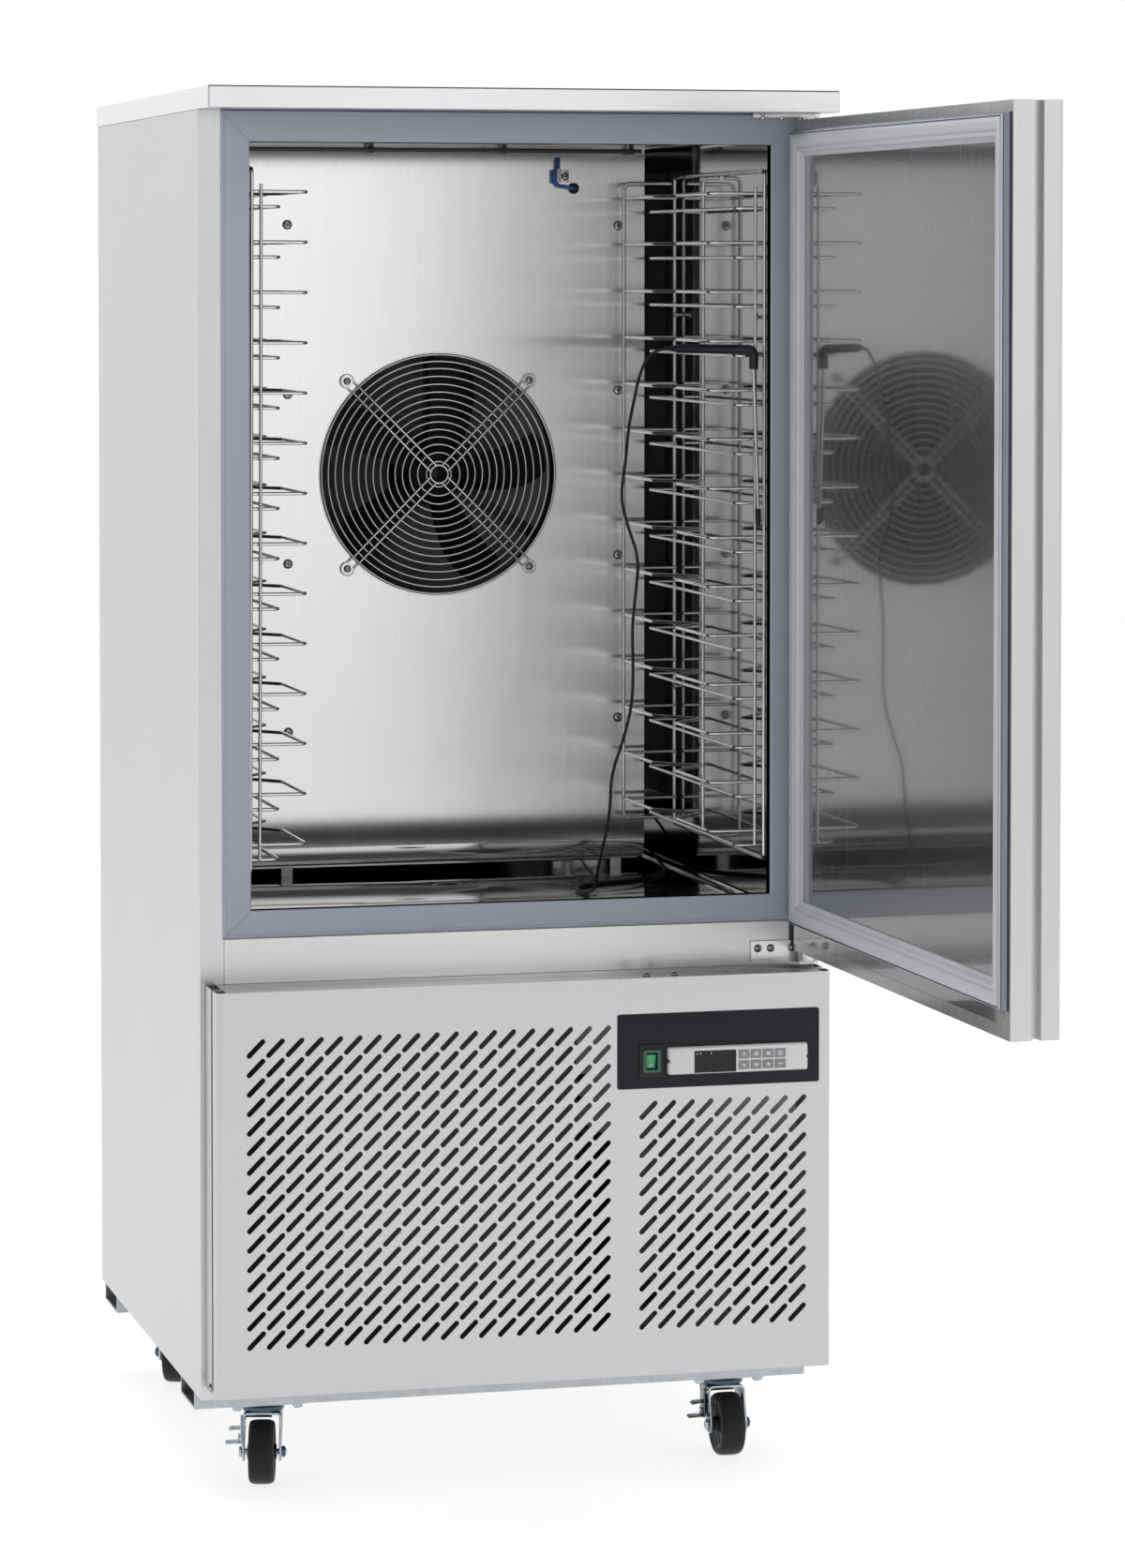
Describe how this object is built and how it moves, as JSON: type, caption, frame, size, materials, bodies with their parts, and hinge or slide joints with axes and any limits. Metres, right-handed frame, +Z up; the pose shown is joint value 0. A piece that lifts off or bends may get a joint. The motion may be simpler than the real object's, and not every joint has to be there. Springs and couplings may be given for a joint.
{
  "type": "blast chiller",
  "caption": "Upright reach-in blast chiller with one side-hinged door, wire tray racks, evaporator fan behind a round guard, slotted machine panel with control strip, swivel castors",
  "frame": {"origin": "on the floor under the centre of the worktop", "axes": "+Z up; the front with the door and controls looks along -Y; +X to the right of someone facing the front; the door stands open about the right-hand hinge pins"},
  "size_m": [0.8336, 1.5481, 1.745],
  "materials": {
    "stainless": "brushed stainless sheet, fine grain",
    "polished_wire": "polished stainless wire",
    "zinc": "bright zinc plate with a faint blue tint",
    "breaker": "grey extruded PVC, satin",
    "seal": "grey flexible gasket, satin",
    "foam": "pale rigid foam",
    "tread": "black rubber, matt",
    "black_plastic": "black plastic, satin",
    "dark_plate": "near-black printed sheet, satin",
    "screen": "dark glossy window",
    "key_grey": "grey rubberised keys",
    "bezel_grey": "light silver-grey moulded plastic",
    "green_plastic": "translucent green, glossy",
    "aluminium": "bare aluminium fins",
    "black_paint": "black paint, semi-gloss",
    "blue_plastic": "blue plastic",
    "rubber_black": "black rubber",
    "probe_steel": "bright steel needle"
  },
  "bodies": {
    "cabinet": {"outer_shell": "stainless", "worktop": "stainless", "cabinet_foam": "foam", "inner_liner": "stainless", "breaker_frame": "breaker", "cross_rail": "stainless", "evaporator_cover": "stainless", "fan_guard": "polished_wire", "evaporator_fan_motor": "black_paint", "evaporator_coil": "aluminium", "ceiling_tube": "rubber_black", "air_sensor": "blue_plastic", "lead_grommets": "rubber_black", "drain_cup": "black_plastic", "rack_left": "polished_wire", "rack_right": "polished_wire", "louvre_panel": "stainless", "control_plate": "dark_plate", "controller_housing": "bezel_grey", "display_window": "screen", "switch_housing": "green_plastic", "base_tray": "stainless", "base_rails": "zinc", "compressor": "black_paint", "condenser_coil": "aluminium", "condenser_shroud": "black_paint", "power_inlet": "black_plastic", "hinge_bracket_top": "polished_wire", "hinge_bracket_bottom": "polished_wire", "pan_head_screws": "zinc", "castor_plates": "zinc", "castor_bolts": "zinc", "probe_handle": "black_plastic", "probe_needle": "probe_steel", "probe_lead": "rubber_black"},
    "door": {"door_outer_skin": "stainless", "door_inner_panel": "stainless", "door_foam": "foam", "door_gasket": "seal"},
    "evaporator_fan": {"evaporator_fan": "black_plastic"},
    "condenser_fan": {"condenser_fan": "aluminium"},
    "power_rocker": {"power_rocker": "green_plastic"},
    "key_1": {"key_1": "key_grey"},
    "key_2": {"key_2": "key_grey"},
    "key_3": {"key_3": "key_grey"},
    "key_4": {"key_4": "key_grey"},
    "key_5": {"key_5": "key_grey"},
    "key_6": {"key_6": "key_grey"},
    "key_7": {"key_7": "key_grey"},
    "key_8": {"key_8": "key_grey"},
    "fork_front_left": {"castor_fork_front_left": "zinc"},
    "wheel_front_left": {"castor_wheel_front_left": "tread"},
    "fork_front_right": {"castor_fork_front_right": "zinc"},
    "wheel_front_right": {"castor_wheel_front_right": "tread"},
    "fork_rear_left": {"castor_fork_rear_left": "zinc"},
    "wheel_rear_left": {"castor_wheel_rear_left": "tread"},
    "fork_rear_right": {"castor_fork_rear_right": "zinc"},
    "wheel_rear_right": {"castor_wheel_rear_right": "tread"},
    "brake_front_left": {"brake_lever_front_left": "zinc"},
    "brake_front_right": {"brake_lever_front_right": "zinc"}
  },
  "joints": [
    {"name": "door_hinge", "type": "hinge", "parent": "cabinet", "child": "door", "pos_m": [0.374, -0.366, 1.185], "axis": [0, 0, 1], "range_deg": [-90.8, 12]},
    {"name": "evaporator_fan_spin", "type": "hinge", "parent": "cabinet", "child": "evaporator_fan", "pos_m": [0.0126, 0.156, 1.249], "axis": [0, 1, 0], "continuous": true},
    {"name": "condenser_fan_spin", "type": "hinge", "parent": "cabinet", "child": "condenser_fan", "pos_m": [-0.13, -0.213, 0.36], "axis": [0, 1, 0], "continuous": true},
    {"name": "power_rocker_tilt", "type": "hinge", "parent": "cabinet", "child": "power_rocker", "pos_m": [0.1565, -0.411, 0.5383], "axis": [1, 0, 0], "range_deg": [-16, 0]},
    {"name": "key_1_press", "type": "slide", "parent": "cabinet", "child": "key_1", "axis": [0, 1, 0], "range_m": [0, 0.0008], "stiffness_N_per_m": 400},
    {"name": "key_2_press", "type": "slide", "parent": "cabinet", "child": "key_2", "axis": [0, 1, 0], "range_m": [0, 0.0008], "stiffness_N_per_m": 400},
    {"name": "key_3_press", "type": "slide", "parent": "cabinet", "child": "key_3", "axis": [0, 1, 0], "range_m": [0, 0.0008], "stiffness_N_per_m": 400},
    {"name": "key_4_press", "type": "slide", "parent": "cabinet", "child": "key_4", "axis": [0, 1, 0], "range_m": [0, 0.0008], "stiffness_N_per_m": 400},
    {"name": "key_5_press", "type": "slide", "parent": "cabinet", "child": "key_5", "axis": [0, 1, 0], "range_m": [0, 0.0008], "stiffness_N_per_m": 400},
    {"name": "key_6_press", "type": "slide", "parent": "cabinet", "child": "key_6", "axis": [0, 1, 0], "range_m": [0, 0.0008], "stiffness_N_per_m": 400},
    {"name": "key_7_press", "type": "slide", "parent": "cabinet", "child": "key_7", "axis": [0, 1, 0], "range_m": [0, 0.0008], "stiffness_N_per_m": 400},
    {"name": "key_8_press", "type": "slide", "parent": "cabinet", "child": "key_8", "axis": [0, 1, 0], "range_m": [0, 0.0008], "stiffness_N_per_m": 400},
    {"name": "swivel_front_left", "type": "hinge", "parent": "cabinet", "child": "fork_front_left", "pos_m": [-0.301, -0.24, 0.09], "axis": [0, 0, 1], "continuous": true},
    {"name": "roll_front_left", "type": "hinge", "parent": "fork_front_left", "child": "wheel_front_left", "pos_m": [-0.30681, -0.26329, 0.04], "axis": [0.9703, -0.2419, 0], "continuous": true},
    {"name": "swivel_front_right", "type": "hinge", "parent": "cabinet", "child": "fork_front_right", "pos_m": [0.301, -0.24, 0.09], "axis": [0, 0, 1], "continuous": true},
    {"name": "roll_front_right", "type": "hinge", "parent": "fork_front_right", "child": "wheel_front_right", "pos_m": [0.30058, -0.264, 0.04], "axis": [0.9998, -0.0175, 0], "continuous": true},
    {"name": "swivel_rear_left", "type": "hinge", "parent": "cabinet", "child": "fork_rear_left", "pos_m": [-0.301, 0.348, 0.09], "axis": [0, 0, 1], "continuous": true},
    {"name": "roll_rear_left", "type": "hinge", "parent": "fork_rear_left", "child": "wheel_rear_left", "pos_m": [-0.30921, 0.32545, 0.04], "axis": [-0.9397, 0.342, 0], "continuous": true},
    {"name": "swivel_rear_right", "type": "hinge", "parent": "cabinet", "child": "fork_rear_right", "pos_m": [0.301, 0.348, 0.09], "axis": [0, 0, 1], "continuous": true},
    {"name": "roll_rear_right", "type": "hinge", "parent": "fork_rear_right", "child": "wheel_rear_right", "pos_m": [0.29519, 0.37129, 0.04], "axis": [0.9703, 0.2419, 0], "continuous": true},
    {"name": "brake_press_front_left", "type": "hinge", "parent": "fork_front_left", "child": "brake_front_left", "pos_m": [-0.32802, -0.23842, 0.055], "axis": [-0.9703, 0.2419, 0], "range_deg": [-6, 0]},
    {"name": "brake_press_front_right", "type": "hinge", "parent": "fork_front_right", "child": "brake_front_right", "pos_m": [0.27432, -0.24454, 0.055], "axis": [-0.9998, 0.0175, 0], "range_deg": [-6, 0]}
  ]
}
